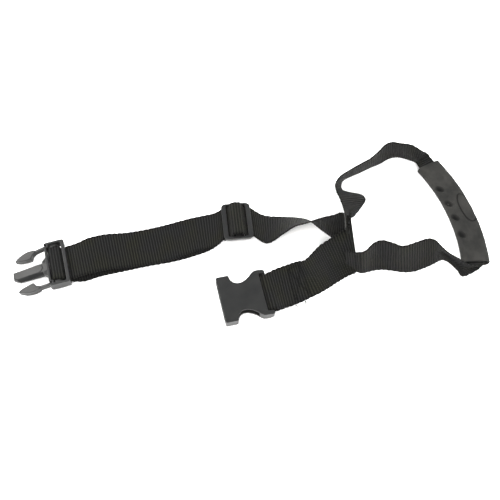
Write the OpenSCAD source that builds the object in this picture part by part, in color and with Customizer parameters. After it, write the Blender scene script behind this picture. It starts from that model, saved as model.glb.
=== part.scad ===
// Gait belt with a side-release buckle, a tri-glide adjuster and a rubber-sleeved hand grip.
// Millimetres, +Z up, resting on z = 0, origin under the middle of the whole belt.

/* [Webbing] */
// Webbing thickness
web_thick = 1.4; // [1:0.1:2]
// Half of the webbing width where it is drawn straight
web_half = 19; // [15:0.5:25]
// Half of the webbing width beside the plug's bar, where it is spread
plug_web = 20.2; // [15:0.1:22]
// Half gap between the creased halves of the folded handle web
crease_half = 1.2; // [0.8:0.1:2]
// Sections drawn between two stations of a web path
steps = 3; // [1:1:6]
// Stitching thread width
thread_w = 0.9; // [0.4:0.1:1.5]
// Stitching thread height
thread_h = 0.5; // [0.3:0.1:1]

/* [Plug buckle] */
// Plug frame length along the belt
plug_len = 20; // [16:0.5:26]
// Plug frame width across the belt
plug_w = 51.8; // [46:0.2:56]
// Plug frame thickness
plug_t = 8.4; // [6:0.2:12]
// Radius of the web bar of the plug
plug_bar_r = 2.2; // [1.5:0.1:3]
// Latch arm thickness
arm_t = 3; // [2:0.1:4]
// Latch arm height
arm_h = 4.4; // [3:0.1:7]
// Slope of the latch arms below the frame, degrees
arm_dip = 8; // [0:1:10]
// Guide tongue width
tongue_w = 14; // [10:0.5:16]
// Guide tongue length
tongue_len = 33.5; // [28:0.5:38]

/* [Socket buckle] */
// Socket shell width
socket_w = 47.6; // [44:0.2:54]
// Socket shell thickness
socket_t = 9.2; // [8:0.2:14]
// Socket wall thickness, top and bottom
socket_wall = 1.4; // [1:0.1:3]
// Radius of the web bar of the socket
socket_bar_r = 2; // [1.5:0.1:3]

/* [Adjuster] */
// Adjuster width across the belt
slide_w = 46.5; // [42:0.5:52]
// Adjuster bar thickness
slide_t = 3; // [2:0.1:4]
// Half width of the adjuster's middle bar
slide_mid = 2.6; // [2:0.1:5]
// Length of the adjuster's slots
slot_len = 41.8; // [38:0.2:46]
// Shift of the slots towards the far rail
slot_shift = 0.6; // [0:0.1:1.5]
// Half of the webbing width inside the slots, where it is spread
slot_web = 20.4; // [18:0.1:22]

/* [Grip] */
// Grip arc inner radius
grip_r_in = 229; // [200:1:260]
// Grip sleeve width
grip_w = 27.4; // [24:0.2:34]
// Grip sleeve thickness
grip_t = 9; // [7:0.2:14]
// Grip sleeve wall
grip_wall = 1.8; // [1.2:0.1:3]
// Grip end angle nearest the viewer
grip_a0 = -3.2; // [-8:0.2:0]
// Grip end angle furthest from the viewer
grip_a1 = 28.4; // [20:0.2:36]

/* [Hidden] */
$fn = 48;
// Shift that puts the origin under the middle of the whole belt.
shift = [-3, -17, 0];
// Frames of the three hard parts: origin, turn about z, pitch about y, roll about x.
plug_o = [-188.2, -24.7, 9];
plug_turn = [2, -3, 15.6];
socket_o = [16.2, -59.4, 10];
socket_turn = [9, 0, 13.4];
slide_o = [-13.2, 30, 8.8];
slide_turn = [0, 0, 6];
grip_c = [-21, -4.5, 4.6];

// Turns a point by rotate([rx, ry, rz]) and moves it, as translate(o) rotate(r) would.
function place(o, r, p) =
    let (y1 = p[1] * cos(r[0]) - p[2] * sin(r[0]))
    let (z1 = p[1] * sin(r[0]) + p[2] * cos(r[0]))
    let (x2 = p[0] * cos(r[1]) + z1 * sin(r[1]))
    let (z2 = z1 * cos(r[1]) - p[0] * sin(r[1]))
    let (x3 = x2 * cos(r[2]) - y1 * sin(r[2]))
    let (y3 = x2 * sin(r[2]) + y1 * cos(r[2]))
    [o[0] + x3, o[1] + y3, o[2] + z2];
// A station of a web path is [first edge, crease, second edge].
function flat(p, q) = [p, (p + q) / 2, q];
// A station square across a hard part, h half widths to each side.
function across(o, r, x, z, h) = [place(o, r, [x, h, z]), place(o, r, [x, 0, z]), place(o, r, [x, -h, z])];
function turned(s) = [s[2], s[1], s[0]];
function mid(a, b) = (a + b) / 2;
function unit(v) = v / norm(v);
function polar(r, a, z) = [grip_c[0] + r * cos(a), grip_c[1] + r * sin(a), z];

// Catmull-Rom through the stations, n sections to each span.
function spline(a, b, c, d, t) =
    0.5 * (2 * b + (c - a) * t + (2 * a - 5 * b + 4 * c - d) * t * t + (3 * b - a - 3 * c + d) * t * t * t);
function smooth(L, n) = concat(
    [for (i = [0 : len(L) - 2]) for (j = [0 : n - 1])
        spline(i > 0 ? L[i - 1] : 2 * L[0] - L[1], L[i], L[i + 1],
               i + 2 < len(L) ? L[i + 2] : 2 * L[len(L) - 1] - L[len(L) - 2], j / n)],
    [L[len(L) - 1]]);
function along(S, i) = unit(S[min(i + 1, len(S) - 1)][1] - S[max(i - 1, 0)][1]);

// Offsets of one section's four guide points, mitred at the crease.
function side(t, a, b) = unit(cross(t, b - a));
function mitre(m, n) = (m + n) / max(0.6, 1 + m * n);
function outline(S, i, h) =
    let (s = S[i])
    let (t = along(S, i))
    let (u = unit(s[2] - s[0]))
    let (b = s[1] - u * crease_half)
    let (c = s[1] + u * crease_half)
    let (n1 = side(t, s[0], b))
    let (n2 = side(t, b, c))
    let (n3 = side(t, c, s[2]))
    [s[0] + n1 * h, b + mitre(n1, n2) * h, c + mitre(n2, n3) * h, s[2] + n3 * h,
     s[2] - n3 * h, c - mitre(n2, n3) * h, b - mitre(n1, n2) * h, s[0] - n1 * h];
module skin(rings) {
    m = len(rings[0]);
    n = len(rings);
    walls = [for (i = [0 : n - 2]) for (j = [0 : m - 1]) each [
        [i * m + j, i * m + (j + 1) % m, (i + 1) * m + j],
        [i * m + (j + 1) % m, (i + 1) * m + (j + 1) % m, (i + 1) * m + j]]];
    caps = [for (j = [0 : 2]) each [
        [j, 7 - j, j + 1], [j + 1, 7 - j, 6 - j],
        [(n - 1) * m + j, (n - 1) * m + j + 1, (n - 1) * m + 7 - j],
        [(n - 1) * m + j + 1, (n - 1) * m + 6 - j, (n - 1) * m + 7 - j]]];
    polyhedron(points = [for (r = rings) each r], faces = concat(walls, caps));
}
module web(L, n = steps) {
    S = smooth(L, n);
    skin([for (i = [0 : len(S) - 1]) outline(S, i, web_thick / 2)]);
}
// A point on the face of a flat web: section i, v from -1 to 1 across, h above the middle.
function on_face(S, i, v, h) =
    let (s = S[i])
    mid(s[0], s[2]) + (s[2] - s[0]) / 2 * v + side(along(S, i), s[0], s[2]) * h;
// Thread laid along the web between sections i0 and i1, at v.
module thread_along(S, i0, i1, v, up) {
    d = thread_w / norm(S[i0][2] - S[i0][0]);
    skin([for (i = [i0 : i1]) strand(S, i, v, d, up)]);
}
function strand(S, i, v, d, up) =
    let (lo = up * (web_thick / 2 + 0.02))
    let (hi = up * (web_thick / 2 + 0.02 + thread_h))
    let (k = up > 0 ? [hi, lo] : [lo, hi])
    [for (q = [-1, -0.4, 0.4, 1]) on_face(S, i, v + q * d, k[0]),
     for (q = [1, 0.4, -0.4, -1]) on_face(S, i, v + q * d, k[1])];
// Thread laid across the web at section i, from v0 to v1.
module thread_across(S, i, v0, v1, up) {
    t = along(S, i) * thread_w / 2;
    lo = up * (web_thick / 2 + 0.02);
    hi = up * (web_thick / 2 + 0.02 + thread_h);
    a = [for (v = [v0, v1]) each [on_face(S, i, v, lo) - t, on_face(S, i, v, lo) + t,
                                  on_face(S, i, v, hi) + t, on_face(S, i, v, hi) - t]];
    f = [[0, 1, 2, 3], [4, 7, 6, 5], [0, 4, 5, 1], [1, 5, 6, 2], [2, 6, 7, 3], [3, 7, 4, 0]];
    polyhedron(points = a, faces = up < 0 ? f : [for (q = f) [q[3], q[2], q[1], q[0]]]);
}
// Half turn of a web round a bar, from over it to under it, about x = m and bulging to -x.
function wrap(o, r, rad, h, m = 0) =
    [for (a = [90 : 22.5 : 270]) across(o, r, m + rad * cos(a), rad * sin(a), h)];

socket_wrap = socket_bar_r + 0.1 + web_thick / 2;
plug_wrap = plug_bar_r + 0.1 + web_thick / 2;
wrap_mid = -2.3;

// Belt web from the adjuster to the socket buckle: [far edge, near edge] at the adjuster.
back_path = [
    across(slide_o, slide_turn, 14.5, -2.35, web_half),
    flat([14, 42, 4], [17, 5, 4.5]),
    flat([34, 42, 1.5], [31.5, 8, 14]),
    flat([48, 41, 1.5], [43.5, 11, 23]),
    flat([61, 37, 1.5], [58, 12, 29]),
    flat([73, 25, 1], [70, 12, 35.5]),
    flat([82, 16, 1], [82, 14, 37.5])];
fold_path = [
    flat([82, 16, 1], [82, 14, 37.5]),
    flat([92, 4, 1], [89, 17, 37.6]),
    flat([100.5, -10, 1], [95.5, 14, 36.5]),
    flat([104.5, -19, 1], [98, 10, 34.5]),
    flat([105, -25, 1], [96.5, 6.5, 31]),
    flat([103, -29, 1], [90, 3, 27]),
    flat([95, -33, 1], [79, -4, 24]),
    flat([85, -40, 1], [67, -13, 23])];
front_path = [
    flat([85, -40, 1], [67, -13, 23]),
    flat([70, -51, 1], [53, -31, 25]),
    flat([57, -59, 1.5], [45, -33, 24.5]),
    flat([45, -66.5, 3], [36, -34.5, 21.5]),
    flat([33, -73, 5.5], [25, -37.5, 19]),
    turned(across(socket_o, socket_turn, 4, socket_wrap + 0.6, web_half))];
// The turned-back tail under the front strap, from its cut end to the bar.
tail_path = [
    across(socket_o, socket_turn, 3, -socket_wrap, web_half),
    flat([25, -37, 11.5], [33, -71.5, 2.6]),
    flat([35.8, -33.8, 17.5], [44.5, -65.2, 0.9]),
    flat([41, -32.6, 20.4], [50.5, -62, 0.8])];
// Upper layer from the adjuster to the plug buckle.
upper_path = [
    across(slide_o, slide_turn, -14.5, -2.35, web_half),
    flat([-38, 40, 9], [-34, 1.5, 4.5]),
    flat([-63, 31, 11], [-55, -5, 3.5]),
    flat([-91, 19, 13.5], [-82, -17, 3.5]),
    flat([-120, 12, 13], [-111, -23, 3.5]),
    flat([-143, 8, 15], [-134, -27.5, 5]),
    flat([-160, 3, 15], [-150, -33, 7]),
    flat([-171, -1, 12], [-161, -37.5, 8]),
    across(plug_o, plug_turn, 8, -2.5, plug_web),
    across(plug_o, plug_turn, 5.4, 0.5, plug_web),
    across(plug_o, plug_turn, 3.5, 3.1, plug_web)];
// Lower layer from the plug buckle back to the adjuster.
lower_path = [
    across(plug_o, plug_turn, 4, -3.1, plug_web),
    across(plug_o, plug_turn, 8, -4.3, plug_web),
    flat([-170, -3, 2.5], [-160, -39.6, 2]),
    flat([-155, 2, 1], [-145, -33, 1]),
    flat([-132, 9, 1], [-123, -27, 1]),
    flat([-110, 15, 1], [-101, -21, 1]),
    flat([-85, 22, 1], [-75, -15, 1]),
    flat([-62, 29, 1.5], [-52, -7, 1.2]),
    flat([-44, 37, 3], [-37, 0, 2.5]),
    across(slide_o, slide_turn, -14.5, -4.3, web_half)];
// Belt web over the adjuster's middle bar, and the sewn loop below it.
function hump_across(x, z, h) = [for (y = [h, 0, -h]) place(slide_o, slide_turn, [x, y + slot_shift, z])];
hump_path = [for (p = [[14.2, -2.4], [10.4, -2.7], [8.2, -1.7], [6.4, 1.2], [4.4, 4.6], [0, 5.6],
    [-4.4, 4.6], [-6.4, 1.2], [-8.2, -1.7], [-10.4, -2.7], [-14.2, -2.4]])
    hump_across(p[0], p[1], abs(p[0]) < 12 ? slot_web : web_half)];
loop_path = [for (p = [[-14.2, -4.3], [-10, -4.3], [-6.4, -3], [-4.4, 1.2], [-2.5, 2.7], [0, 2.9],
    [2.5, 2.7], [4.4, 0.8], [4.4, -1.2], [2.5, -3], [0, -4], [-5, -5.6], [-10, -6.1], [-14.5, -6.1]])
    across(slide_o, slide_turn, p[0], p[1], web_half - 0.6)];

// Handle web: [upper edge, crease, lower edge].
handle_a_path = [
    [[92, 20, 38], [98.5, 25, 26], [100.5, 20, 27]],
    [[91.5, 24, 37.5], [100, 31, 27], [104.5, 28, 20]],
    [[91, 29, 36], [104, 38, 24], [113.5, 44, 15]],
    flat([89, 39, 35], [118.5, 54, 15.5]),
    flat([87, 47, 34], [114, 64, 12]),
    flat([86, 54, 35], [101.5, 71, 6]),
    flat([87, 60, 34], [97, 79, 3]),
    flat([91, 68, 33], [97, 87, 1]),
    flat([96, 74, 32], [101, 95, 1]),
    flat([114, 87, 33], [118, 105, 1]),
    flat([125, 94, 34], [131, 113, 1]),
    flat([135, 104, 35], [142, 119, 1]),
    flat([142, 112, 36], [150, 125, 1]),
    flat([149.5, 116, 36], [157, 128, 1]),
    flat([158, 114.5, 36], [165, 128, 1]),
    [[171, 113, 34.5], [173, 117, 17], [177, 123, 1]],
    [[183, 114, 25], [181, 114, 11], [186, 117, 1.5]],
    [polar(249, 31.1, 11), polar(235, 31.4, 6.5), polar(249, 31.3, 2.2)],
    [polar(251.5, 29.6, 7.2), polar(232.7, 29.6, 4.6), polar(251.5, 29.6, 2.9)]];
core_path = [for (p = [[29.6, 251.5], [22, 251.5], [14, 251.5], [6, 251.5], [-2, 250.5], [-4.4, 247.5]])
    [polar(p[1], p[0], 6.3), polar(232.7, p[0], 4.6), polar(p[1], p[0], 2.9)]];
handle_b_path = [
    [polar(247.5, -4.4, 6.3), polar(232.7, -4.4, 4.6), polar(247.5, -4.4, 2.9)],
    [[217, -27, 10], [207.5, -28, 6], [214.5, -30.5, 1.5]],
    [[209.5, -29, 15], [200.5, -22, 9], [206.5, -33, 1]],
    [[200, -28, 22], [192, -15, 13], [204, -27, 1]],
    [[189, -26, 29], [186, -15, 17], [197, -17, 1]],
    [[181, -22, 35], [183, -16, 19], [190, -13, 1]],
    flat([176, -18, 38], [182, -17, 1]),
    flat([169, -16, 38], [175, -21, 1]),
    flat([156, -21, 38], [161, -27, 1]),
    flat([144, -25, 38], [150, -28, 1]),
    flat([135, -21, 38], [138, -26, 1]),
    flat([125, -18, 38], [129, -25, 1]),
    flat([117, -21, 37], [121, -26, 1]),
    flat([110, -27, 34], [114, -28, 1])];
// Sewn ends of the handle web, tucked into the belt's fold.
end_a_path = [
    [[92, 19.6, 38], [98.4, 24.6, 26], [100.4, 19.6, 27]],
    [[93, 13, 38.5], [97.5, 14.5, 20.5], [98, 12.5, 31]],
    [[93.5, 7, 35.5], [96, 5, 20], [96, 6.5, 34.5]],
    [[94, 2, 32.5], [95, -2, 17], [96.5, 1.5, 31.5]]];
end_b_path = [
    flat([109.6, -27, 33.8], [113.6, -28, 1]),
    flat([105, -27, 31], [109, -29, 1]),
    flat([99, -24, 27], [103, -27, 1]),
    flat([92, -20, 24], [95, -24, 1])];

web_grey = [0.09, 0.09, 0.085];
plastic_grey = [0.15, 0.15, 0.15];
rubber_grey = [0.2, 0.19, 0.18];
thread_grey = [0.13, 0.13, 0.12];

module belt_back() { color(web_grey) translate(shift) web(back_path); }
module belt_fold() { color(web_grey) translate(shift) web(fold_path, 4); }
module belt_front() {
    color(web_grey) translate(shift)
        web(concat(front_path, [for (s = wrap(socket_o, socket_turn, socket_wrap, web_half)) turned(s)],
            [turned(across(socket_o, socket_turn, 2.8, -socket_wrap, web_half))]), 2);
}
module belt_tail() { color(web_grey) translate(shift) web(tail_path); }
module upper_layer() {
    color(web_grey) translate(shift)
        web(concat(upper_path, wrap(plug_o, plug_turn, plug_wrap, web_half, wrap_mid),
            [across(plug_o, plug_turn, 3.7, -3.1, plug_web)]), 2);
}
module lower_layer() { color(web_grey) translate(shift) web(lower_path); }
module hump_web() { color(web_grey) translate(shift) web(hump_path, 2); }
module sewn_loop() { color(web_grey) translate(shift) web(loop_path); }
module handle_web_a() { color(web_grey) translate(shift) web(handle_a_path); }
module handle_core() { color(web_grey) translate(shift) web(core_path); }
module handle_web_b() { color(web_grey) translate(shift) web(handle_b_path); }
module handle_end_a() { color(web_grey) translate(shift) web(end_a_path, 2); }
module handle_end_b() { color(web_grey) translate(shift) web(end_b_path, 2); }

// Flat plate with rounded corners, centred on the frame's origin.
module plate(l, w, t, r) {
    linear_extrude(height = t, center = true) {
        square([l, w - 2 * r], center = true);
        square([l - 2 * r, w], center = true);
        for (x = [-1, 1]) for (y = [-1, 1]) translate([x * (l / 2 - r), y * (w / 2 - r)]) circle(r);
    }
}
module adjuster() {
    color(plastic_grey) translate(shift) translate(slide_o) rotate(slide_turn) difference() {
        intersection() {
            plate(29.6, slide_w, slide_t, 5);
            cylinder(h = 10, r = 26.5, center = true, $fn = 96);
        }
        for (x = [-1, 1]) translate([x * (slide_mid + 10) / 2, slot_shift, 0])
            plate(10 - slide_mid, slot_len, 10, 1.5);
    }
}

// Plug, with the web bar along y through the origin and the tongue towards -x.
arm_root = [-8, 22.2];
tongue_slope = 9;
module plug() {
    color(plastic_grey) translate(shift) translate(plug_o) rotate(plug_turn) union() {
        difference() {
            translate([1, 0, 0]) plate(plug_len, plug_w, plug_t, 2.5);
            translate([0.5, 0, 0]) plate(14.2, 39.6, 20, 1);
            translate([1.5, 0, 0]) plate(12.2, plug_w - 5, 20, 1.5);
            translate([9, 0, -5.9]) cube([6, 2 * plug_web + 3.6, 10], center = true);
            for (y = [-1, 1]) {
                translate([arm_root[0], y * arm_root[1], 0]) cylinder(h = 20, r = 1.9, center = true);
                translate([-12, y * arm_root[1], 0]) cube([8, 4, 20], center = true);
            }
        }
        // The web bar is a flat oval.
        for (x = [wrap_mid, 1.6]) translate([x, 0, 0]) rotate([90, 0, 0])
            cylinder(h = plug_w - 4, r = plug_bar_r, center = true);
        translate([(wrap_mid + 1.6) / 2, 0, 0])
            cube([1.6 - wrap_mid, plug_w - 4, 2 * plug_bar_r], center = true);
        // The tongue slopes down to its tip, with bevelled sides and a raised pad.
        translate([0, -1.5, 0]) intersection() {
            rotate([90, 0, 0]) linear_extrude(height = 2 * tongue_w, center = true)
                polygon([[-7.5, -3.6], [-7.5, 3.4], [-42.4, -2.2], [-43, -4.4], [-42.6, -5], [-40, -5.2]]);
            translate([-8, 0, 3.2]) rotate([90, 0, 270]) rotate([tongue_slope, 0, 0])
                linear_extrude(height = tongue_len + 4)
                    polygon([[-5, 0], [5, 0], [tongue_w / 2, -2.6], [tongue_w / 2, -14],
                        [-tongue_w / 2, -14], [-tongue_w / 2, -2.6]]);
            translate([-8, 0, 0]) linear_extrude(height = 20, center = true)
                polygon([[1, tongue_w / 2], [-tongue_len, tongue_w / 2], [-tongue_len - 1, tongue_w / 2 - 1],
                    [-tongue_len - 1, 3.6 - tongue_w / 2], [5 - tongue_len, -tongue_w / 2],
                    [1, -tongue_w / 2]]);
        }
        translate([-8, -1.2, 3.2]) rotate([0, -tongue_slope, 0])
            translate([-3 - tongue_len / 2, 0, 0]) plate(tongue_len - 5, 9.2, 0.8, 4.5);
        translate([-8.5, 0, -0.3]) linear_extrude(height = 5.6, center = true)
            polygon([[0.5, 13], [-1.5, 8.6], [-4.5, 5.6], [-4.5, -8.6], [-1.5, -11.6], [0.5, -15]]);
    }
}
// Latch arm on the +y side, leaning about its round root; it dips towards the barbed head.
module latch(lean) {
    translate([arm_root[0], arm_root[1], 0]) rotate([0, 0, lean]) {
        cylinder(h = arm_h, r = 1.8, center = true);
        rotate([0, -arm_dip, 0]) difference() {
            union() {
                linear_extrude(height = arm_h, center = true)
                    polygon([[0, -1.4], [0, 1.4], [-8.5, 0.8], [-16, -0.2], [-16, -arm_t - 0.2],
                        [-8.5, 0.8 - arm_t]]);
                linear_extrude(height = arm_h + 1.4, center = true)
                    polygon([[-10.5, 0.9], [-10.5, -2.4], [-13.2, -3.8], [-15.4, -8], [-20.5, -7.8],
                        [-28, -6.4], [-31.2, -5.2], [-31, -4], [-25.5, -0.6], [-20.5, 1.2], [-16.5, 1.7]]);
            }
            translate([-32, -4, 4.6]) rotate([0, -16, 0]) cube([20, 24, 5], center = true);
            translate([-32, -4, -4]) rotate([0, 12, 0]) cube([24, 24, 5], center = true);
        }
    }
}
module latch_far() { color(plastic_grey) translate(shift) translate(plug_o) rotate(plug_turn) latch(2); }
module latch_near() {
    color(plastic_grey) translate(shift) translate(plug_o) rotate(plug_turn) mirror([0, 1, 0]) latch(-4.6);
}

half_outline = [[-45, 0], [-45, 22.8], [-44, 23.8], [-33.4, 23.8], [-32.6, 23.2], [-31.6, 18.6],
    [-29.4, 15.8], [-26, 14.2], [-22, 14.2], [-18, 15.8], [-14, 18.6], [-10.5, 22], [-8.5, 23.4],
    [-6, 23.8], [0.4, 23.8], [1.9, 23], [2.3, 21.6], [2.3, 19.7], [-4, 19.7], [-4, 0]];
module shell_outline() {
    polygon(half_outline);
    mirror([0, 1]) polygon(half_outline);
}
// Socket, with the web bar along y through the origin and the mouth towards -x.
module socket() {
    color(plastic_grey) translate(shift) translate(socket_o) rotate(socket_turn) difference() {
        union() {
            linear_extrude(height = socket_t, center = true) shell_outline();
            rotate([90, 0, 0]) cylinder(h = 41, r = socket_bar_r, center = true);
        }
        translate([-29, 0, 0]) cube([34, socket_w - 6, socket_t - 2 * socket_wall], center = true);
        // The rails thin down behind the web bar.
        for (z = [-1, 1]) translate([1.5, 0, z * 5.4]) rotate([0, z * 16, 0])
            cube([12, 60, 4], center = true);
    }
}

// Section of the sleeve, from its inner curve to its outer curve.
module sleeve_section(grow) {
    h = grip_t / 2 + grow;
    w = grip_w + 2 * grow;
    r = h - 0.6;
    translate([grip_r_in - grow, -h]) {
        translate([r, 0]) square([w - 2 * r, 2 * h]);
        translate([0, r]) square([w, 2 * h - 2 * r]);
        for (x = [r, w - r]) for (y = [r, 2 * h - r]) translate([x, y]) circle(r, $fn = 24);
    }
}
grip_span = grip_a1 - grip_a0;
module grip() {
    color(rubber_grey) translate(shift) translate(grip_c) rotate([0, 0, grip_a0]) difference() {
        rotate_extrude(angle = grip_span, $fn = 120) difference() {
            sleeve_section(0);
            sleeve_section(-grip_wall);
        }
        // Finger dents in the top, along the inner edge.
        for (a = [7.5, 13, 17.7, 22.9]) rotate([0, 0, a]) translate([grip_r_in + 4.2, 0, grip_t / 2 + 3.4])
            sphere(r = 4.6, $fn = 24);
    }
}
module grip_badge() {
    color(rubber_grey) translate(shift) translate(grip_c) rotate([0, 0, 12.3])
        translate([grip_r_in + grip_w - 8, 0, grip_t / 2 - 0.1])
            scale([4.6, 18, 1]) cylinder(h = 0.5, r = 1);
}

front_dense = smooth(front_path, 3);
loop_dense = smooth(loop_path, 3);
end_b_dense = smooth(end_b_path, 2);
module stitch_socket() {
    color(thread_grey) translate(shift) {
        thread_along(front_dense, 6, 11, -0.86, -1);
        thread_along(front_dense, 6, 11, 0.86, -1);
        for (i = [6, 11]) thread_across(front_dense, i, -0.82, 0.82, -1);
    }
}
module stitch_loop() {
    color(thread_grey) translate(shift)
        for (i = [36, 38]) thread_across(loop_dense, i, -0.84, 0.84, -1);
}
module stitch_end_a() {
    color(thread_grey) translate(shift)
        for (z = [0, 3, 6]) translate([94.6, 4 + z, 34.6 + z / 3]) rotate([35, 0, 20])
            cube([4.4, 1, 1], center = true);
}
module stitch_end_b() {
    color(thread_grey) translate(shift)
        for (i = [3, 5]) thread_across(end_b_dense, i, -0.82, 0.82, 1);
}

belt_back();
belt_fold();
belt_front();
belt_tail();
upper_layer();
lower_layer();
hump_web();
sewn_loop();
adjuster();
plug();
latch_far();
latch_near();
socket();
handle_web_a();
handle_core();
handle_web_b();
handle_end_a();
handle_end_b();
grip();
grip_badge();
stitch_socket();
stitch_loop();
stitch_end_a();
stitch_end_b();
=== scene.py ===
"""Gait belt: ribbed webbing, side-release buckle, tri-glide adjuster and a rubber hand grip."""

import math

import bmesh
import bpy
import numpy as np
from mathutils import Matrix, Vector


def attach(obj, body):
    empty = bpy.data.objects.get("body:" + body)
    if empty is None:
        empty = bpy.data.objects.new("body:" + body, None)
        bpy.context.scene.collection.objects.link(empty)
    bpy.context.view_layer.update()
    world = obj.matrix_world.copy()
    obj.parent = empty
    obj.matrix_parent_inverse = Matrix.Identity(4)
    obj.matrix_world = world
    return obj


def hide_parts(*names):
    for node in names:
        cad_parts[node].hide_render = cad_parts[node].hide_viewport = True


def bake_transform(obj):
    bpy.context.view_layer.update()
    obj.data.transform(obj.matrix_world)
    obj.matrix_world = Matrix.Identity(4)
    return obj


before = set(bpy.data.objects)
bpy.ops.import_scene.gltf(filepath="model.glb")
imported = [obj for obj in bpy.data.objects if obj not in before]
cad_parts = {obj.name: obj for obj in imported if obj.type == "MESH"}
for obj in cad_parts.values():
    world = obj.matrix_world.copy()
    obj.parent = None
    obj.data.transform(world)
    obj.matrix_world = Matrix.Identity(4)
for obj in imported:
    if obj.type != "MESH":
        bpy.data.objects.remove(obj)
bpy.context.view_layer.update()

# Lengths are in millimetres, unless a comment says metres.
MM = 0.001
SHIFT = np.array([-3.0, -17.0, 0.0])  # puts the origin under the middle of the belt
# Hard parts: place in millimetres, then turns about x, y and z in degrees.
PLUG = ((-188.2, -24.7, 9.0), (2.0, -3.0, 15.6))
SOCKET = ((16.2, -59.4, 10.0), (9.0, 0.0, 13.4))
ADJUSTER = ((-13.2, 30.0, 8.8), (0.0, 0.0, 6.0))
GRIP_CENTRE = np.array([-21.0, -4.5, 4.6])
PLUG_WRAP = 3.25  # radius of the web round the bar
SOCKET_WRAP = 2.8
WRAP_MIDDLE = -2.3
HALF = 19.0  # half of the webbing's width
PLUG_HALF = 20.2

WEB_THICK = 1.4
RIB_PITCH = 2.6
RIB_HEIGHT = 0.24
SCALLOP = 0.75
ROW_STEP = 0.43
BEAD_PITCH = 1.3
SELVEDGE = (16.4, 17.2)  # the darker edge band begins here, from the middle of the web


# ---------------------------------------------------------------- places and paths
def turn_matrix(turn):
    """Rotation about x, then y, then z, in degrees."""
    a, b, c = (math.radians(v) for v in turn)
    rx = np.array([[1, 0, 0], [0, math.cos(a), -math.sin(a)], [0, math.sin(a), math.cos(a)]])
    ry = np.array([[math.cos(b), 0, math.sin(b)], [0, 1, 0], [-math.sin(b), 0, math.cos(b)]])
    rz = np.array([[math.cos(c), -math.sin(c), 0], [math.sin(c), math.cos(c), 0], [0, 0, 1]])
    return rz @ ry @ rx


def place(part, point):
    """A point of a hard part's own frame, in millimetres before the shift."""
    return np.array(part[0]) + turn_matrix(part[1]) @ np.array(point, float)


def flat(p, q):
    """A web station: first edge, crease, second edge."""
    p, q = np.array(p, float), np.array(q, float)
    return [p, (p + q) / 2, q]


def across(part, x, z, half=HALF):
    """A station straight across a hard part."""
    return [place(part, (x, y, z)) for y in (half, 0, -half)]


def hump_across(x, z):
    """A station over the adjuster's bar, where the web spreads to fill the slots."""
    half = 20.4 if abs(x) < 8 else 21.4 if abs(x) < 12 else HALF
    return [place(ADJUSTER, (x, y + 0.6, z)) for y in (half, 0, -half)]


def turned(station):
    """The same station with its two edges exchanged."""
    return station[::-1]


def wrap(part, radius, middle=0.0):
    """Stations round a web bar, from over it to under it."""
    angles = np.radians(np.arange(90, 271, 22.5))
    return [across(part, middle + radius * math.cos(a), radius * math.sin(a)) for a in angles]


def polar(radius, angle, z):
    """A point at an angle, in degrees, round the centre of the grip's arc."""
    a = math.radians(angle)
    return np.array([GRIP_CENTRE[0] + radius * math.cos(a), GRIP_CENTRE[1] + radius * math.sin(a), z])


def loop_stations():
    """Stations of the web sewn round the adjuster's middle bar."""
    outline = [(-14.2, -4.3), (-10, -4.3), (-6.4, -3), (-4.4, 1.2), (-2.5, 2.7), (0, 2.9), (2.5, 2.7),
               (4.4, 0.8), (4.4, -1.2), (2.5, -3), (0, -4), (-5, -5.6), (-10, -6.1), (-14.5, -6.1)]
    return [across(ADJUSTER, x, z, HALF - 0.6) for x, z in outline][::-1]


LOWER = [
    flat((-44, 37, 3), (-37, 0, 2.5)),
    flat((-62, 29, 1.5), (-52, -7, 1.2)),
    flat((-85, 22, 1), (-75, -15, 1)),
    flat((-110, 15, 1), (-101, -21, 1)),
    flat((-132, 9, 1), (-123, -27, 1)),
    flat((-155, 2, 1), (-145, -33, 1)),
    flat((-170, -3, 2.5), (-160, -39.6, 2)),
    across(PLUG, 8, -4.3, PLUG_HALF),
    across(PLUG, 4, -3.1, PLUG_HALF)]
UPPER = [
    across(PLUG, 3.5, 3.1, PLUG_HALF),
    across(PLUG, 5.4, 0.5, PLUG_HALF),
    across(PLUG, 8, -2.5, PLUG_HALF),
    flat((-171, -1, 12), (-161, -37.5, 8)),
    flat((-160, 3, 15), (-150, -33, 7)),
    flat((-143, 8, 15), (-134, -27.5, 5)),
    flat((-120, 12, 13), (-111, -23, 3.5)),
    flat((-91, 19, 13.5), (-82, -17, 3.5)),
    flat((-63, 31, 11), (-55, -5, 3.5)),
    flat((-38, 40, 9), (-34, 1.5, 4.5))]
HUMP = [hump_across(x, z) for x, z in (
    (-14.2, -2.4), (-10.4, -2.7), (-8.2, -1.7), (-6.4, 1.2), (-4.4, 4.6), (0, 5.6), (4.4, 4.6),
    (6.4, 1.2), (8.2, -1.7), (10.4, -2.7), (14.2, -2.4))]
BACK = [
    flat((14, 42, 4), (17, 5, 4.5)),
    flat((34, 42, 1.5), (31.5, 8, 14)),
    flat((48, 41, 1.5), (43.5, 11, 23)),
    flat((61, 37, 1.5), (58, 12, 29)),
    flat((73, 25, 1), (70, 12, 35.5)),
    flat((82, 16, 1), (82, 14, 37.5))]
FOLD = [
    flat((92, 4, 1), (89, 17, 37.6)),
    flat((100.5, -10, 1), (95.5, 14, 36.5)),
    flat((104.5, -19, 1), (98, 10, 34.5)),
    flat((105, -25, 1), (96.5, 6.5, 31)),
    flat((103, -29, 1), (90, 3, 27)),
    flat((95, -33, 1), (79, -4, 24)),
    flat((85, -40, 1), (67, -13, 23))]
FRONT = [
    flat((70, -51, 1), (53, -31, 25)),
    flat((57, -59, 1.5), (45, -33, 24.5)),
    flat((45, -66.5, 3), (36, -34.5, 21.5)),
    flat((33, -73, 5.5), (25, -37.5, 19)),
    turned(across(SOCKET, 4, SOCKET_WRAP + 0.6))]
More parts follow.
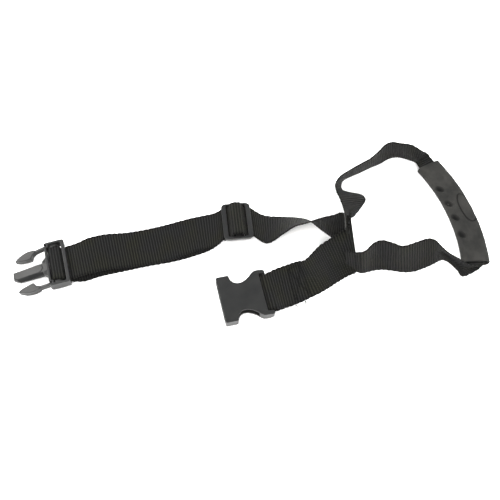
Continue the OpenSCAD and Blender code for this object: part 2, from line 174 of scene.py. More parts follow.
TAIL = [
    turned(across(SOCKET, 2.9, -SOCKET_WRAP)),
    flat((33, -71.5, 2.6), (25, -37, 11.5)),
    flat((44.5, -65.2, 0.9), (35.8, -33.8, 17.5)),
    flat((50.5, -62, 0.8), (41, -32.6, 20.4))]

END_A = [
    [(94, 2, 32.5), (95, -2, 17), (96.5, 1.5, 31.5)],
    [(93.5, 7, 35.5), (96, 5, 20), (96, 6.5, 34.5)],
    [(93, 13, 38.5), (97.5, 14.5, 20.5), (98, 12.5, 31)]]
HANDLE_FAR = [
    [(92, 20, 38), (98.5, 25, 26), (100.5, 20, 27)],
    [(91.5, 24, 37.5), (100, 31, 27), (104.5, 28, 20)],
    [(91, 29, 36), (104, 38, 24), (113.5, 44, 15)],
    flat((89, 39, 35), (118.5, 54, 15.5)),
    flat((87, 47, 34), (114, 64, 12)),
    flat((86, 54, 35), (101.5, 71, 6)),
    flat((87, 60, 34), (97, 79, 3)),
    flat((91, 68, 33), (97, 87, 1)),
    flat((96, 74, 32), (101, 95, 1)),
    flat((114, 87, 33), (118, 105, 1)),
    flat((125, 94, 34), (131, 113, 1)),
    flat((135, 104, 35), (142, 119, 1)),
    flat((142, 112, 36), (150, 125, 1)),
    flat((149.5, 116, 36), (157, 128, 1)),
    flat((158, 114.5, 36), (165, 128, 1)),
    [(171, 113, 34.5), (173, 117, 17), (177, 123, 1)],
    [(183, 114, 25), (181, 114, 11), (186, 117, 1.5)],
    [polar(249, 31.1, 11), polar(235, 31.4, 6.5), polar(249, 31.3, 2.2)]]
CORE = [[polar(r, a, top), polar(232.7, a, 4.6), polar(r, a, 2.9)] for a, top, r in (
    (29.6, 6.4, 251.5), (22, 6.3, 251.5), (14, 6.3, 251.5),
    (6, 6.3, 251.5), (-2, 6.3, 250.5), (-4.4, 6.3, 247.5))]
HANDLE_NEAR = [
    [(217, -27, 10), (207.5, -28, 6), (214.5, -30.5, 1.5)],
    [(209.5, -29, 15), (200.5, -22, 9), (206.5, -33, 1)],
    [(200, -28, 22), (192, -15, 13), (204, -27, 1)],
    [(189, -26, 29), (186, -15, 17), (197, -17, 1)],
    [(181, -22, 35), (183, -16, 19), (190, -13, 1)],
    flat((176, -18, 38), (182, -17, 1)),
    flat((169, -16, 38), (175, -21, 1)),
    flat((156, -21, 38), (161, -27, 1)),
    flat((144, -25, 38), (150, -28, 1)),
    flat((135, -21, 38), (138, -26, 1)),
    flat((125, -18, 38), (129, -25, 1)),
    flat((117, -21, 37), (121, -26, 1)),
    flat((110, -27, 34), (114, -28, 1))]
END_B = [
    flat((105, -27, 31), (109, -29, 1)),
    flat((99, -24, 27), (103, -27, 1)),
    flat((92, -20, 24), (95, -24, 1))]


class Web:
    """A long ribbon through stations, sampled every ROW_STEP, that is cut into pieces at named stations."""

    def __init__(self, parts):
        stations = [s for _, group in parts for s in group]
        rows = np.array(stations, float) + SHIFT
        self.spans = {}
        first = 0
        for name, group in parts:
            self.spans[name] = (first, first + len(group) - 1)
            first += len(group)
        dense, marks = self.interpolate(rows)
        step = np.linalg.norm(np.diff(dense, axis=0), axis=2).mean(axis=1)
        travel = np.concatenate([[0], np.cumsum(step)])
        self.at_station = travel[marks]
        count = int(travel[-1] / ROW_STEP)
        self.along = np.linspace(0, travel[-1], count + 1)
        flat_rows = dense.reshape(len(dense), 9)
        rows = np.stack([np.interp(self.along, travel, flat_rows[:, k]) for k in range(9)], axis=1)
        self.rows = rows.reshape(-1, 3, 3)
        self.build_surface()

    @staticmethod
    def interpolate(rows, per=20):
        """A smooth curve through the stations, and where each station is on it."""
        padded = np.concatenate([[2 * rows[0] - rows[1]], rows, [2 * rows[-1] - rows[-2]]])
        t = np.linspace(0, 1, per, endpoint=False)[:, None, None]
        out = []
        for a, b, c, d in zip(padded, padded[1:], padded[2:], padded[3:]):
            out.append(0.5 * (2 * b + (c - a) * t + (2 * a - 5 * b + 4 * c - d) * t**2
                              + (3 * b - a - 3 * c + d) * t**3))
        marks = np.arange(len(rows)) * per
        return np.concatenate(out + [rows[-1:]]), marks

    def build_surface(self, columns=26, crease=0.1):
        """The middle surface of the web, with its directions along, across and off it."""
        v = np.sin(np.linspace(-1, 1, columns) * math.pi / 2 * 0.9) / math.sin(math.pi / 2 * 0.9)
        self.v = v * 0.972
        p, m, q = (self.rows[:, k, None, :] for k in range(3))
        w = self.v[None, :, None]
        straight = np.where(w < 0, p + (m - p) * (w + 1), m + (q - m) * w)
        a, b = m + (p - m) * crease, m + (q - m) * crease
        t = (w / crease + 1) / 2
        bend = a * (1 - t) ** 2 + 2 * m * t * (1 - t) + b * t**2
        self.mid = np.where(np.abs(w) < crease, bend, straight)
        ds = np.gradient(self.mid, axis=0)
        dv = np.gradient(self.mid, axis=1)
        n = np.cross(ds, dv)
        self.normal = n / np.linalg.norm(n, axis=2, keepdims=True)
        self.out = dv / np.linalg.norm(dv, axis=2, keepdims=True)
        self.run = ds / np.linalg.norm(ds, axis=2, keepdims=True)

    def station(self, name, end=0):
        """Distance along the web of a group's first (0) or last (1) station."""
        return self.at_station[self.spans[name][end]]

    def station_inside(self, name, index):
        """Distance along the web of a station counted from a group's first."""
        return self.at_station[self.spans[name][0] + index]

    def piece(self, name, start, stop, material):
        """A closed ribbed mesh of the web between two distances along it."""
        i0, i1 = (int(round(d / ROW_STEP)) for d in (start, stop))
        i0, i1 = max(0, i0), min(len(self.along) - 1, i1)
        pick = slice(i0, i1 + 1)
        mid, normal, out = self.mid[pick], self.normal[pick], self.out[pick]
        along = self.along[pick]
        rib = 0.5 + 0.5 * np.cos(along * 2 * math.pi / RIB_PITCH)
        half = (WEB_THICK / 2 - 0.12 + RIB_HEIGHT * rib**1.4)[:, None, None]
        turn = np.abs(np.cos(along * math.pi / (2 * RIB_PITCH)))
        edge = (0.3 + SCALLOP * turn**0.7)[:, None]
        columns = mid.shape[1]
        ring = [mid[:, k] + normal[:, k] * half[:, 0] for k in range(columns)]
        sides = [(self.v[k] * HALF, 1.0) for k in range(columns)]
        for angle in (50, 90, 130):
            a = math.radians(angle)
            outwards = out[:, -1] * edge * math.sin(a)
            ring.append(mid[:, -1] + outwards + normal[:, -1] * half[:, 0] * math.cos(a))
            sides.append((HALF, math.cos(a)))
        ring += [mid[:, k] - normal[:, k] * half[:, 0] for k in reversed(range(columns))]
        sides += [(self.v[k] * HALF, -1.0) for k in reversed(range(columns))]
        for angle in (130, 90, 50):
            a = math.radians(angle)
            outwards = out[:, 0] * edge * math.sin(a)
            ring.append(mid[:, 0] - outwards + normal[:, 0] * half[:, 0] * math.cos(a))
            sides.append((-HALF, math.cos(a)))
        points = np.stack(ring, axis=1)
        rows, around = points.shape[:2]
        faces = [(i * around + j, i * around + (j + 1) % around, (i + 1) * around + (j + 1) % around,
                  (i + 1) * around + j) for i in range(rows - 1) for j in range(around)]
        last = (rows - 1) * around
        mirror = [2 * columns + 2 - j for j in range(columns)]
        for j in range(columns - 1):
            faces.append((j, mirror[j], mirror[j + 1], j + 1))
            faces.append((last + j, last + j + 1, last + mirror[j + 1], last + mirror[j]))
        faces += self.edge_caps(columns, around, last)
        lay = np.empty((rows, around, 3), np.float32)
        lay[:, :, 0] = [s[0] for s in sides]
        lay[:, :, 1] = along[:, None]
        lay[:, :, 2] = [s[1] for s in sides]
        obj = mesh_object(name, points.reshape(-1, 3), faces, material)
        layer = obj.data.attributes.new("lay", "FLOAT_VECTOR", "POINT")
        layer.data.foreach_set("vector", lay.reshape(-1))
        flat_size = (HALF * 2 * MM, float(along[-1] - along[0]) * MM)
        return obj, flat_size

    @staticmethod
    def edge_caps(columns, around, last):
        """Faces that close the rounded edges at both ends of a piece."""
        top, bottom = columns - 1, columns + 3
        right = [top, top + 1, top + 2, top + 3, bottom]
        left = [bottom + columns - 1, around - 3, around - 2, around - 1, 0]
        caps = []
        for loop in (right, left):
            caps.append(loop[::-1])
            caps.append([last + k for k in loop])
        return caps

    def spot(self, along, cross, lift):
        """A point lifted off the web's face, with the directions along, across and off it there."""
        i = min(len(self.along) - 2, int(along / ROW_STEP))
        k = int(np.argmin(np.abs(self.v * HALF - cross)))
        point = self.mid[i, k] + self.out[i, k] * (cross - self.v[k] * HALF)
        sign = 1 if lift > 0 else -1
        face = WEB_THICK / 2 + 0.06
        lifted = point + self.normal[i, k] * (face * sign + lift)
        return lifted, self.run[i, k], self.out[i, k], self.normal[i, k]


# ---------------------------------------------------------------- meshes
STITCH_RADIUS = 0.3
BAR_STITCH_RADIUS = 0.36
FRAY_RADIUS = 0.34


def mesh_object(name, points, faces, material):
    """A mesh from points in millimetres, faces turned outwards."""
    mesh = bpy.data.meshes.new(name)
    mesh.from_pydata([tuple(p) for p in np.asarray(points) * MM], [], [tuple(f) for f in faces])
    mesh.materials.append(material)
    mesh.validate()
    work = bmesh.new()
    work.from_mesh(mesh)
    bmesh.ops.recalc_face_normals(work, faces=work.faces)
    work.to_mesh(mesh)
    work.free()
    for face in mesh.polygons:
        face.use_smooth = True
    obj = bpy.data.objects.new(name, mesh)
    bpy.context.collection.objects.link(obj)
    return obj


def tube(route, radius, taper=1.0, sides=6):
    """Points and faces of a round thread along a route."""
    route = np.asarray(route, float)
    tangent = np.gradient(route, axis=0)
    tangent /= np.linalg.norm(tangent, axis=1, keepdims=True)
    side = np.cross(tangent, [0.31, 0.17, 0.93])
    side /= np.linalg.norm(side, axis=1, keepdims=True)
    lift = np.cross(tangent, side)
    points, faces = [], []
    for i, p in enumerate(route):
        r = radius * (1 + (taper - 1) * i / (len(route) - 1))
        for k in range(sides):
            a = 2 * math.pi * k / sides
            points.append(p + side[i] * r * math.cos(a) + lift[i] * r * math.sin(a))
    for i in range(len(route) - 1):
        for k in range(sides):
            n = (k + 1) % sides
            faces.append((i * sides + k, i * sides + n, (i + 1) * sides + n, (i + 1) * sides + k))
    faces.append(tuple(range(sides))[::-1])
    faces.append(tuple((len(route) - 1) * sides + k for k in range(sides)))
    return points, faces


def joined(name, shapes, material):
    """One object from several (points, faces) shapes."""
    points, faces = [], []
    for shape_points, shape_faces in shapes:
        base = len(points)
        points += list(shape_points)
        faces += [tuple(base + k for k in face) for face in shape_faces]
    return mesh_object(name, points, faces, material)


def stitch_run(web, spots, radius=STITCH_RADIUS, length=2.3, lift=0.05):
    """Short raised threads, each a small arch between two holes in the web."""
    shapes = []
    for along, cross, heading, side in spots:
        point, run, out, normal = web.spot(along, cross, side * lift)
        direction = run * math.cos(math.radians(heading)) + out * math.sin(math.radians(heading))
        t = np.linspace(-1, 1, 7)
        arch = side * (0.30 - 0.42 * t**2)
        route = point + direction * (t * length / 2)[:, None] + normal * arch[:, None]
        shapes.append(tube(route, radius))
    return shapes


def line_of_stitches(a0, c0, a1, c1, side, spacing=3.0):
    """Stitch places on a straight line between two points of the web."""
    reach = math.hypot(a1 - a0, c1 - c0)
    count = max(1, int(reach / spacing))
    heading = math.degrees(math.atan2(c1 - c0, a1 - a0))
    share = (np.arange(count) + 0.5) / count
    return [(a0 + (a1 - a0) * t, c0 + (c1 - c0) * t, heading, side) for t in share]


# ---------------------------------------------------------------- materials
class Nodes:
    """Short forms for a procedural material's nodes."""

    def __init__(self, name, color, roughness):
        self.material = bpy.data.materials.new(name)
        self.material.use_nodes = True
        self.tree = self.material.node_tree
        self.shader = self.tree.nodes["Principled BSDF"]
        self.shader.inputs["Base Color"].default_value = (*color, 1)
        self.shader.inputs["Roughness"].default_value = roughness

    def add(self, kind, inputs=(), **settings):
        node = self.tree.nodes.new(kind)
        for key, value in settings.items():
            setattr(node, key, value)
        for key, value in dict(inputs).items():
            self.put(node.inputs[key], value)
        return node

    def put(self, socket, value):
        if isinstance(value, bpy.types.NodeSocket):
            self.tree.links.new(value, socket)
        else:
            socket.default_value = value

    def math(self, operation, a, b=0.0, clamp=False):
        return self.add("ShaderNodeMath", {0: a, 1: b}, operation=operation, use_clamp=clamp).outputs[0]

    def spread(self, value, low, high, to_low=0.0, to_high=1.0):
        return self.add("ShaderNodeMapRange", {"Value": value, "From Min": low, "From Max": high,
                                               "To Min": to_low, "To Max": to_high}).outputs["Result"]

    def mix(self, factor, a, b):
        node = self.add("ShaderNodeMix", data_type="RGBA")
        self.put(node.inputs[0], factor)
        self.put(node.inputs[6], a if isinstance(a, bpy.types.NodeSocket) else (*a, 1))
        self.put(node.inputs[7], b if isinstance(b, bpy.types.NodeSocket) else (*b, 1))
        return node.outputs[2]

    def stretched(self, vector, scale):
        """The vector with each axis scaled."""
        return self.add("ShaderNodeMapping", {"Vector": vector, "Scale": scale}).outputs[0]

    def noise(self, vector, scale, detail=3.0, roughness=0.55):
        return self.add("ShaderNodeTexNoise", {"Vector": vector, "Scale": scale, "Detail": detail,
                                               "Roughness": roughness}).outputs["Fac"]

    def bump(self, height, strength, distance):
        normal = self.add("ShaderNodeBump", {"Height": height, "Strength": strength, "Distance": distance})
        self.put(self.shader.inputs["Normal"], normal.outputs["Normal"])

    def set(self, **values):
        for key, value in values.items():
            self.put(self.shader.inputs[key.replace("_", " ")], value)


def webbing_material(name, dark, light, tint):
    """Ribs and beads from the distances along and across the web, with painted shade in the grooves between
    them, worn in patches.
    """
    n = Nodes(name, light, 0.75)
    lay = n.add("ShaderNodeAttribute", attribute_name="lay").outputs["Vector"]
    split = n.add("ShaderNodeSeparateXYZ", {0: lay})
    cross, along = split.outputs["X"], split.outputs["Y"]
    wander = n.noise(n.stretched(lay, (0.25, 0.25, 1.0)), 1.0, 2.0)
    phase = n.math("ADD", along, n.spread(wander, 0.0, 1.0, -0.35, 0.35))
    rib = n.math("COSINE", n.math("MULTIPLY", phase, 2 * math.pi / RIB_PITCH))
    row = n.math("FLOOR", n.math("ADD", n.math("DIVIDE", along, RIB_PITCH), 0.5))
    stagger = n.math("MULTIPLY", n.math("PINGPONG", row, 1.0), 0.5)
    bead_phase = n.math("ADD", n.math("DIVIDE", cross, BEAD_PITCH), stagger)
    bead = n.math("COSINE", n.math("MULTIPLY", bead_phase, 2 * math.pi))
    fibre = n.noise(n.stretched(lay, (2.4, 0.8, 1.0)), 1.5, 4.0, 0.65)
    patches = n.noise(lay, 0.05, 3.0, 0.5)
    selvedge = n.spread(n.math("ABSOLUTE", cross), *SELVEDGE)
    height = n.math("ADD", n.math("MULTIPLY", rib, 0.6), n.math("MULTIPLY", bead, 0.22))
    height = n.math("ADD", height, n.math("MULTIPLY", fibre, 0.7))
    # painted shade: the colour is darker in the grooves between ribs and beads and lighter on their tops;
    # the fibre noise and the darker selvedge band are the web's own tone
    rib_shade_and_weave = n.math("ADD", n.spread(height, -0.35, 1.25), n.math("MULTIPLY", selvedge, -0.2), clamp=True)
    base = n.mix(rib_shade_and_weave, dark, light)
    worn = n.mix(n.spread(patches, 0.4, 0.7), base, n.mix(rib_shade_and_weave, dark, tint))
    n.set(Base_Color=worn, Roughness=n.spread(fibre, 0.2, 0.8, 0.7, 0.95))
    n.shader.inputs["Sheen Weight"].default_value = 0.03
    n.shader.inputs["Sheen Roughness"].default_value = 0.5
    n.shader.inputs["Specular IOR Level"].default_value = 0.12
    n.bump(height, 0.9, 0.0004)
    return n.material


def plastic_material(name, dark, light):
    n = Nodes(name, light, 0.42)
    position = n.add("ShaderNodeTexCoord").outputs["Object"]
    grain = n.noise(position, 1500.0, 2.0, 0.6)
    cloud = n.noise(position, 70.0, 4.0, 0.6)
    scuff = n.noise(n.stretched(position, (1.0, 6.0, 1.0)), 260.0, 5.0)
    color = n.mix(n.spread(cloud, 0.3, 0.7), dark, light)
    color = n.mix(n.spread(scuff, 0.66, 0.82, 0.0, 0.35), color, tuple(2.2 * c for c in light))
    n.set(Base_Color=color, Roughness=n.spread(cloud, 0.25, 0.75, 0.3, 0.42))
    n.bump(n.math("ADD", grain, n.math("MULTIPLY", scuff, 0.25)), 0.22, 0.00012)
    return n.material


def rubber_material(name, dark, light, dust):
    n = Nodes(name, light, 0.72)
    position = n.add("ShaderNodeTexCoord").outputs["Object"]
    grain = n.noise(position, 1900.0, 2.0, 0.7)
    blotch = n.noise(position, 46.0, 5.0, 0.62)
    slanted = n.add("ShaderNodeMapping", {"Vector": position, "Rotation": (0, 0, 0.6),
                                          "Scale": (3.0, 1.0, 1.0)}).outputs[0]
    smear = n.noise(slanted, 60.0, 5.0, 0.6)
    color = n.mix(n.spread(blotch, 0.34, 0.68), dark, light)
    color = n.mix(n.spread(smear, 0.5, 0.78, 0.0, 0.5), color, dust)
    painted_hollow_shade = n.add("ShaderNodeAttribute", attribute_name="painted_hollow_shade").outputs["Fac"]
    # painted shade: the rubber is darkened in the finger dents and in the oval panel's groove
    color = n.mix(painted_hollow_shade, color, tuple(0.15 * c for c in dark))
    n.set(Base_Color=color, Roughness=n.spread(smear, 0.3, 0.75, 0.6, 0.86))
    n.shader.inputs["Specular IOR Level"].default_value = 0.22
    n.bump(n.math("ADD", grain, n.math("MULTIPLY", blotch, 0.6)), 0.3, 0.00016)
    return n.material


def thread_material(name, color):
    n = Nodes(name, color, 0.6)
    position = n.add("ShaderNodeTexCoord").outputs["Object"]
    wave = n.add("ShaderNodeTexWave", {"Vector": position, "Scale": 900.0, "Distortion": 1.5})
    twist = wave.outputs["Fac"]
    n.set(Base_Color=n.mix(twist, tuple(0.6 * c for c in color), color))
    n.shader.inputs["Specular IOR Level"].default_value = 0.1
    n.bump(twist, 0.5, 0.0001)
    return n.material


WEB = webbing_material(
    "webbing", (0.0014, 0.0014, 0.0014), (0.0145, 0.0145, 0.0145), (0.0165, 0.0165, 0.0115))
PLASTIC = plastic_material("buckle_plastic", (0.008, 0.008, 0.008), (0.012, 0.012, 0.0115))
RUBBER = rubber_material(
    "grip_rubber", (0.011, 0.011, 0.0105), (0.022, 0.0215, 0.02), (0.034, 0.033, 0.031))
THREAD = thread_material("thread", (0.005, 0.005, 0.005))
PALE_THREAD = thread_material("frayed_thread", (0.06, 0.06, 0.058))


# ---------------------------------------------------------------- webbing
LOWER_SPLIT = 3  # the plug's loop of web begins at this station of the lower layer
UPPER_SPLIT = 6  # and ends at this station of the upper one
ADJUSTER_REACH = 14  # distance from the adjuster's middle, for points that are passed to cut() and not read
BOX_NEAR = 26  # distances before the socket's bar
BOX_FAR = 40
BOX_SIDE = 15.5
LOOSE_THREADS = (
    [(43, -67.5, 2), (46, -70, 1.2), (47, -73, 0.5), (45.5, -75, 0.4)],
    [(52, -63, 2), (55, -66.5, 1.4), (58.5, -69.5, 0.6)],
    [(53, -63, 2), (52.5, -67, 1.0), (50.5, -69.5, 0.5)])
CUT_EDGE = -18.2  # across the web
CUT_EDGE_PLACES = np.arange(1.5, 19, 0.8)  # along the web
FRAY_PLACES = (3.0, 5.8, 8.8, 11.5)  # along the web
FRAY_CROSS = -14.5  # across the web


def shifted(point):
    """A point in metres, in the shared frame."""
    return tuple((np.array(point, float) + SHIFT) * MM)


def cut(web, name, start, stop, replaced, carrier):
    """One piece of a web, carried by a body; when the carrier is not a body's name, the piece stays in
    place with its transform baked in, and the carrier is not otherwise used.
    """
    obj, size = web.piece(name, start, stop, WEB)
    if isinstance(carrier, str):
        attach(obj, carrier)
    else:
        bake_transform(obj)
    if replaced:
        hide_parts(replaced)


def build_strap():
    strap = Web([
        ("loop", loop_stations()), ("lower", LOWER),
        ("plug_wrap", wrap(PLUG, PLUG_WRAP, WRAP_MIDDLE)[::-1]),
        ("upper", UPPER), ("hump", HUMP), ("back", BACK), ("fold", FOLD), ("front", FRONT),
        ("socket_wrap", [turned(s) for s in wrap(SOCKET, SOCKET_WRAP)]), ("tail", TAIL)])
    lower_split = strap.station_inside("lower", LOWER_SPLIT)
    upper_split = strap.station_inside("upper", UPPER_SPLIT)
    to_adjuster = ("belt", "slider", (-62, 20, 0), place(ADJUSTER, (-ADJUSTER_REACH, 0, 0)))
    to_plug = ("belt", "plug_buckle", (-150, -15, 0), place(PLUG, (4, 0, 0)))
    from_adjuster = ("belt", "slider", (50, 24, 0), place(ADJUSTER, (ADJUSTER_REACH, 0, 0)))
    loop_end = strap.station("loop", 1)
    hump_start = strap.station("hump")
    hump_end = strap.station("hump", 1)
    fold_start = strap.station("back", 1)
    front_start = strap.station("fold", 1)
    tail_start = strap.station("tail")
    cut(strap, "sewn_loop_web", 0, loop_end, "sewn_loop", "slider")
    cut(strap, "lower_web", loop_end, lower_split, "lower_layer", to_adjuster)
    cut(strap, "plug_loop_web", lower_split, upper_split, "upper_layer", to_plug)
    cut(strap, "upper_web", upper_split, hump_start, None, to_adjuster)
    cut(strap, "hump_web_over_bar", hump_start, hump_end, "hump_web", "slider")
    cut(strap, "back_web", hump_end, fold_start, "belt_back", from_adjuster)
    cut(strap, "fold_web", fold_start, front_start, "belt_fold", "belt")
    cut(strap, "front_web", front_start, tail_start, "belt_front", "belt")
    cut(strap, "tail_web", tail_start, strap.along[-1], "belt_tail", "belt")
    return strap


def build_handle():
    handle = Web([
        ("end_a", END_A), ("far", HANDLE_FAR), ("core", CORE), ("near", HANDLE_NEAR), ("end_b", END_B)])
    far_start = handle.station("far")
    core_start = handle.station("core")
    core_end = handle.station("core", 1)
    end_b = handle.station("near", 1)
    far_bend = ("belt", "handle", (94, 18, 32), (112, 66, 18))
    near_bend = ("belt", "handle", (113, -28, 18), (170, -22, 18))
    cut(handle, "handle_sewn_end_far", 0, far_start, "handle_end_a", "belt")
    cut(handle, "handle_strap_far", far_start, core_start, "handle_web_a", far_bend)
    cut(handle, "handle_folded_core", core_start, core_end, "handle_core", "handle")
    cut(handle, "handle_strap_near", core_end, end_b, "handle_web_b", near_bend)
    cut(handle, "handle_sewn_end_near", end_b, handle.along[-1], "handle_end_b", "belt")
    return handle


def threads(name, shapes, body, replaced, material):
    """Threads as one piece that rides on a body."""
    obj = joined(name, shapes, material)
    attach(obj, body)
    if replaced:
        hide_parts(replaced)


def build_stitching(strap, handle):
    bar = strap.station("socket_wrap")
    near = bar - BOX_NEAR
    far = bar - BOX_FAR
    box = []
    for a0, c0, a1, c1 in ((far, -BOX_SIDE, far, BOX_SIDE), (near, -BOX_SIDE, near, BOX_SIDE),
                           (far, -BOX_SIDE, near, -BOX_SIDE), (far, BOX_SIDE, near, BOX_SIDE),
                           (far, -BOX_SIDE, near, BOX_SIDE), (far, BOX_SIDE, near, -BOX_SIDE)):
        box += line_of_stitches(a0, c0, a1, c1, -1)
    threads("socket_box_stitch", stitch_run(strap, box), "belt", "stitch_socket", THREAD)
    rows = []
    for a in (2.5, 5.5):
        rows += line_of_stitches(a, -16.5, a, 16.5, 1) + line_of_stitches(a, -16.5, a, 16.5, -1)
    threads("adjuster_loop_stitch", stitch_run(strap, rows), "slider", "stitch_loop", THREAD)
    rows = []
    for a in (4, 8, 12):
        rows += line_of_stitches(a, -15, a, -2, 1, 2.6)
    shapes = stitch_run(handle, rows, BAR_STITCH_RADIUS)
    threads("far_end_bar_stitch", shapes, "belt", "stitch_end_a", THREAD)
    end = handle.station("near", 1)
    rows = []
    for a in (end + 6, end + 10):
        rows += line_of_stitches(a, -14, a, 14, 1, 2.4)
    shapes = stitch_run(handle, rows, BAR_STITCH_RADIUS)
    threads("near_end_bar_stitch", shapes, "belt", "stitch_end_b", THREAD)
    shapes = [tube(np.array(route) + SHIFT, FRAY_RADIUS, 0.6) for route in LOOSE_THREADS]
    threads("socket_loose_threads", shapes, "belt", None, THREAD)
    cut_ends = [(a, CUT_EDGE, 84 + 9 * (k % 3), 1) for k, a in enumerate(CUT_EDGE_PLACES)]
    shapes = stitch_run(handle, cut_ends, 0.42, 3.0)
    for k, a in enumerate(FRAY_PLACES):
        point, run, out, normal = handle.spot(a, FRAY_CROSS + k % 2, 0.1)
        t = np.linspace(-1, 1, 9)
        bow = run * (0.8 * (1 - t**2))[:, None]
        arch = normal * (0.9 - 1.2 * t**2)[:, None]
        route = point + out * (2.4 * t)[:, None] + bow + arch
        shapes.append(tube(route, FRAY_RADIUS))
    threads("far_end_frayed_edge", shapes, "belt", None, PALE_THREAD)


# ---------------------------------------------------------------- hard parts
VOXEL = 0.00026  # metres


def soften(name, passes):
    """Gives a CAD node moulded, rounded edges and the plastic."""
    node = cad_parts[name]
    weld = node.modifiers.new("weld", "WELD")
    weld.merge_threshold = 0.00002
    remesh = node.modifiers.new("remesh", "REMESH")
    remesh.mode = "VOXEL"
    remesh.voxel_size = VOXEL
    remesh.use_smooth_shade = True
    smooth = node.modifiers.new("smooth", "SMOOTH")
    smooth.factor = 0.5
    smooth.iterations = passes
    for slot in node.material_slots:
        slot.material = PLASTIC


def build_buckles():
    for name in ("plug", "latch_far", "latch_near", "socket"):
        soften(name, 3)
    soften("adjuster", 5)


# ---------------------------------------------------------------- grip
GRIP_WIDTH = 27.4
GRIP_RADIUS = 229 + GRIP_WIDTH / 2  # to the middle of the grip
GRIP_THICK = 9.0
GRIP_WALL = 1.8
GRIP_ENDS = (-3.2, 28.4)  # degrees round the arc
GRIP_ROWS = 330
GRIP_AROUND = 210
DENTS = (19.7, 14.5, 9.8, 4.3)  # degrees round the arc
DENT_ALONG = 5.2  # half sizes of a dent
DENT_ACROSS = 4.0
DENT_DEPTH = 1.6
BADGE_ANGLE = 12.4  # degrees round the arc
BADGE_ACROSS = 6.9  # half sizes of the oval
BADGE_ALONG = 18.4
GROOVE_DEPTH = 0.7


def rounded_section(width, thick, radius, count):
    """Points round a rounded rectangle, evenly spaced, from the middle of its +x side."""
    w, t = width / 2 - radius, thick / 2 - radius
    corners = [(w, t, 0), (-w, t, 90), (-w, -t, 180), (w, -t, 270)]
    outline = [(width / 2, 0)]
    for x, y, start in corners:
        for a in np.radians(np.linspace(start, start + 90, 14)):
            outline.append((x + radius * math.cos(a), y + radius * math.sin(a)))
    outline.append((width / 2, 0))
    outline = np.array(outline)
    step = np.concatenate([[0], np.cumsum(np.linalg.norm(np.diff(outline, axis=0), axis=1))])
    at = np.linspace(0, step[-1], count, endpoint=False)
    return np.stack([np.interp(at, step, outline[:, k]) for k in range(2)], axis=1)


def grip_surface(section, outer):
    """A swept surface along the grip's arc; the outer one has finger dents and the oval panel, and a mask
    of painted shade in the dents and the panel's groove.
    """
    u, z = section[:, 0], section[:, 1]
    share = np.linspace(0, 1, GRIP_ROWS)[:, None]
    start = GRIP_ENDS[0] - (0.5 - u / GRIP_WIDTH)
    angle = start + (GRIP_ENDS[1] - start) * share
    side = u[None, :] * np.ones_like(share)
    height = z[None, :] * np.ones_like(share)
    arc = np.radians(angle) * GRIP_RADIUS
    painted_hollow_shade = np.zeros_like(side)
    if outer:
        crown = 1 - 0.1 * (side / (GRIP_WIDTH / 2)) ** 2
        height = height * crown
        for dent in DENTS:
            gap = arc - math.radians(dent) * GRIP_RADIUS
            inwards = side + GRIP_WIDTH / 2 - 4.6
            reach = np.hypot((gap + 0.4 * inwards) / DENT_ALONG, inwards / DENT_ACROSS)
            press = np.clip(1 - reach**2, 0, 1)
            rim = np.exp(-((reach - 1.1) / 0.16) ** 2) * (gap < 1.5)
            top = np.where(height > 0, 1, 0)
            height -= top * (DENT_DEPTH * press - 0.3 * rim)
            # painted shade in the dent's hollow
            painted_hollow_shade += top * 0.9 * press**0.6
        across_badge = side - (GRIP_WIDTH / 2 - 6.6)
        along_badge = arc - math.radians(BADGE_ANGLE) * GRIP_RADIUS
        ring = np.hypot(across_badge / BADGE_ACROSS, along_badge / BADGE_ALONG)
        slope = np.hypot(across_badge / BADGE_ACROSS**2, along_badge / BADGE_ALONG**2)
        slope = slope / np.maximum(ring, 0.05)
        groove = np.exp(-((ring - 1) / slope / 0.55) ** 2)
        top = np.where(height > 1, 1, 0)
        height -= top * (GROOVE_DEPTH * groove - 0.15 * (ring < 1))
        # painted shade in the panel's groove
        painted_hollow_shade += top * 0.95 * groove
        lumps = np.sin(arc * 0.21 + side * 0.3) * np.sin(arc * 0.093 + 1.3) * 0.18
        height += np.sign(height) * lumps
    radius = GRIP_RADIUS + side
    a = np.radians(angle)
    x = GRIP_CENTRE[0] + radius * np.cos(a)
    y = GRIP_CENTRE[1] + radius * np.sin(a)
    return np.stack([x, y, GRIP_CENTRE[2] + height], axis=2) + SHIFT, np.clip(painted_hollow_shade, 0, 1)


def build_grip():
    around = GRIP_AROUND
    rows = GRIP_ROWS
    outer, painted_hollow_shade = grip_surface(rounded_section(GRIP_WIDTH, GRIP_THICK, 3.9, around), True)
    hollow = rounded_section(GRIP_WIDTH - 2 * GRIP_WALL, GRIP_THICK - 2 * GRIP_WALL, 2.3, around)
    inner, plain = grip_surface(hollow, False)
    points = np.concatenate([outer.reshape(-1, 3), inner.reshape(-1, 3)])
    faces = []
    inside = rows * around
    for base, flip in ((0, False), (inside, True)):
        for i in range(rows - 1):
            row = base + i * around
            above = row + around
            for j in range(around):
                n = (j + 1) % around
                quad = [row + j, row + n, above + n, above + j]
                faces.append(quad[::-1] if flip else quad)
    for i in (0, rows - 1):
        row = i * around
        for j in range(around):
            n = (j + 1) % around
            quad = [row + j, inside + row + j, inside + row + n, row + n]
            faces.append(quad if i == 0 else quad[::-1])
    grip = mesh_object("grip_sleeve_skin", points, faces, RUBBER)
    layer = grip.data.attributes.new("painted_hollow_shade", "FLOAT", "POINT")
    layer.data.foreach_set("value", np.concatenate([painted_hollow_shade.ravel(), plain.ravel()]).astype(np.float32))
    bevel = grip.modifiers.new("rim", "BEVEL")
    bevel.width = 0.0004
    bevel.segments = 3
    bevel.limit_method = "ANGLE"
    bevel.angle_limit = math.radians(50)
    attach(grip, "grip_sleeve")
    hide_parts("grip", "grip_badge")


# ---------------------------------------------------------------- setting
FLOOR_REACH = 3  # metres
CAMERA_PLACE = (0, -492.5, 630.4)  # before the shift
CAMERA_TILT = 38  # degrees from straight down
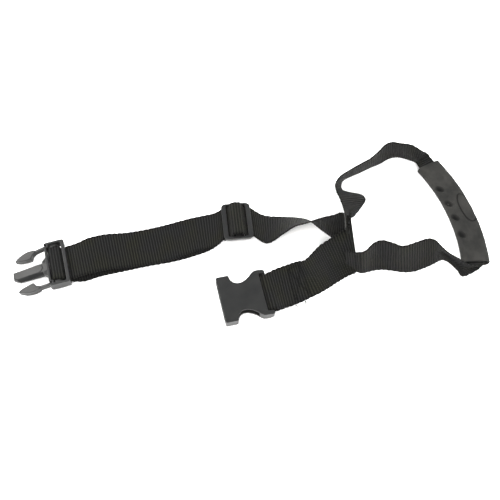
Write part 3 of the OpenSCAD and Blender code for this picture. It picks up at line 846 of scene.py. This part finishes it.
# Name, place, aim and size in metres, power in watts, and whether shiny surfaces mirror it.
LAMPS = (
    ("key", (-1.3, 0.4, 1.2), (-0.05, 0, 0), 1.2, 36.0, False),
    ("card", (-1.3, 0.5, 1.2), (-0.05, 0, 0), 1.0, 15.0, True),
    ("side", (1.25, 0.4, 1.2), (0.05, 0, 0), 1.2, 44.0, False),
    ("front", (0.0, -1.25, 1.5), (0, 0, 0), 1.2, 68.0, False))


def build_setting():
    mesh = bpy.data.meshes.new("floor")
    r = FLOOR_REACH
    mesh.from_pydata([(-r, -r, 0), (r, -r, 0), (r, r, 0), (-r, r, 0)], [], [(0, 1, 2, 3)])
    n = Nodes("floor", (0.92, 0.925, 0.93), 0.7)
    mottle = n.noise(n.add("ShaderNodeTexCoord").outputs["Object"], 3.0, 2.0)
    n.set(Base_Color=n.mix(mottle, (0.91, 0.915, 0.92), (0.93, 0.935, 0.94)))
    mesh.materials.append(n.material)
    floor = bpy.data.objects.new("floor", mesh)
    bpy.context.collection.objects.link(floor)
    world = bpy.data.worlds.new("studio")
    world.use_nodes = True
    world.node_tree.nodes["Background"].inputs[0].default_value = (0.9, 0.95, 1.0, 1)
    world.node_tree.nodes["Background"].inputs[1].default_value = 0.5
    bpy.context.scene.world = world
    for name, spot, aim, size, power, mirrored in LAMPS:
        light = bpy.data.lights.new(name, "AREA")
        light.size = size
        light.energy = power
        light.color = (1.0, 0.985, 0.96)
        lamp = bpy.data.objects.new(name, light)
        lamp.location = spot
        lamp.visible_glossy = mirrored
        lamp.rotation_euler = (Vector(aim) - Vector(spot)).to_track_quat("-Z", "Y").to_euler()
        bpy.context.collection.objects.link(lamp)
    camera = bpy.data.cameras.new("camera")
    camera.lens = 57.6
    camera.sensor_width = 36
    eye = bpy.data.objects.new("camera", camera)
    eye.location = shifted(CAMERA_PLACE)
    eye.rotation_euler = (math.radians(CAMERA_TILT), 0, 0)
    bpy.context.collection.objects.link(eye)
    scene = bpy.context.scene
    scene.camera = eye
    scene.view_settings.view_transform = "Standard"


build_setting()
strap = build_strap()
handle = build_handle()
build_stitching(strap, handle)
build_buckles()
build_grip()
